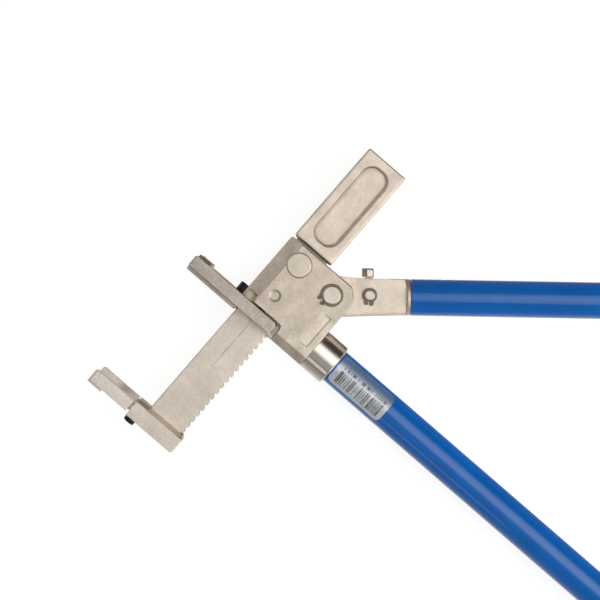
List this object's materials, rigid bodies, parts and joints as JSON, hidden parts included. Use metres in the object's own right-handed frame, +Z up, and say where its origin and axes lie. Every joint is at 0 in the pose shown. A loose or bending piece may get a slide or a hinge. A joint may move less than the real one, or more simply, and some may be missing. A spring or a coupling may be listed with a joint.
{
  "type": "hand press for sliding sleeves",
  "caption": "Two-handled ratchet press: a toothed rack slides through a cast head and draws two open fork jaws together on a pipe fitting.",
  "frame": {"origin": "centre of the pipe seat in the head's fork", "axes": "+X along the rack, the way it closes the jaws; -Y along the fixed handle; +Z up out of the flat face when the tool lies down"},
  "size_m": [0.4267, 0.4816, 0.043],
  "materials": {
    "nickel_casting": "satin nickel on a fine cast skin",
    "blasted_steel": "bead blasted",
    "nickel_plate": "smooth nickel plate",
    "rack_steel": "ground flat, nickel plated",
    "polished_steel": "turned and polished",
    "pin_steel": "ground",
    "spring_steel": "oiled spring steel",
    "black_steel": "black oxide",
    "bronze": "turned",
    "blue_paint": "glossy powder coat",
    "grip_rubber": "soft matte",
    "cap_plastic": "moulded",
    "label": "laminated sticker"
  },
  "bodies": {
    "head": {"head_body": "nickel_casting", "head_fork": "blasted_steel", "head_fork_screws": "black_steel", "fork_lock_screw": "black_steel", "fork_lock_washer": "black_steel", "brake_pad": "bronze", "brake_springs": "spring_steel", "brake_plug": "pin_steel", "main_pin": "pin_steel", "main_pin_circlips": "spring_steel", "handle_socket": "polished_steel", "socket_pin": "spring_steel", "lower_tube": "blue_paint", "lower_grip": "grip_rubber", "lower_end_cap": "cap_plastic", "tube_label": "label"},
    "rack": {"rack_bar": "rack_steel", "rack_end_block": "nickel_casting", "end_block_pins": "spring_steel", "rack_holder": "rack_steel", "holder_screws": "black_steel", "rack_fork": "nickel_plate", "rack_fork_screw": "black_steel"},
    "lever": {"lever_arm": "nickel_casting", "pawl_pin": "pin_steel", "pawl_pin_circlips": "spring_steel", "pawl_spring": "spring_steel", "lever_tube": "blue_paint", "lever_tube_pin": "spring_steel", "lever_grip": "grip_rubber", "lever_end_cap": "cap_plastic"},
    "pawl": {"pawl": "nickel_plate"}
  },
  "joints": [
    {"name": "rack_slide", "type": "slide", "parent": "head", "child": "rack", "axis": [1, 0, 0], "range_m": [-0.0014, 0.07]},
    {"name": "lever_hinge", "type": "hinge", "parent": "head", "child": "lever", "pos_m": [0.0424, -0.0624, 0], "axis": [0, 0, 1], "range_deg": [-35, 20]},
    {"name": "pawl_release", "type": "hinge", "parent": "lever", "child": "pawl", "pos_m": [0.05726, -0.07956, 0], "axis": [0, 0, 1], "range_deg": [0, 8], "stiffness_Nm_per_rad": 0.08, "springref_deg": -14.32, "deforming": ["pawl_spring"]}
  ]
}
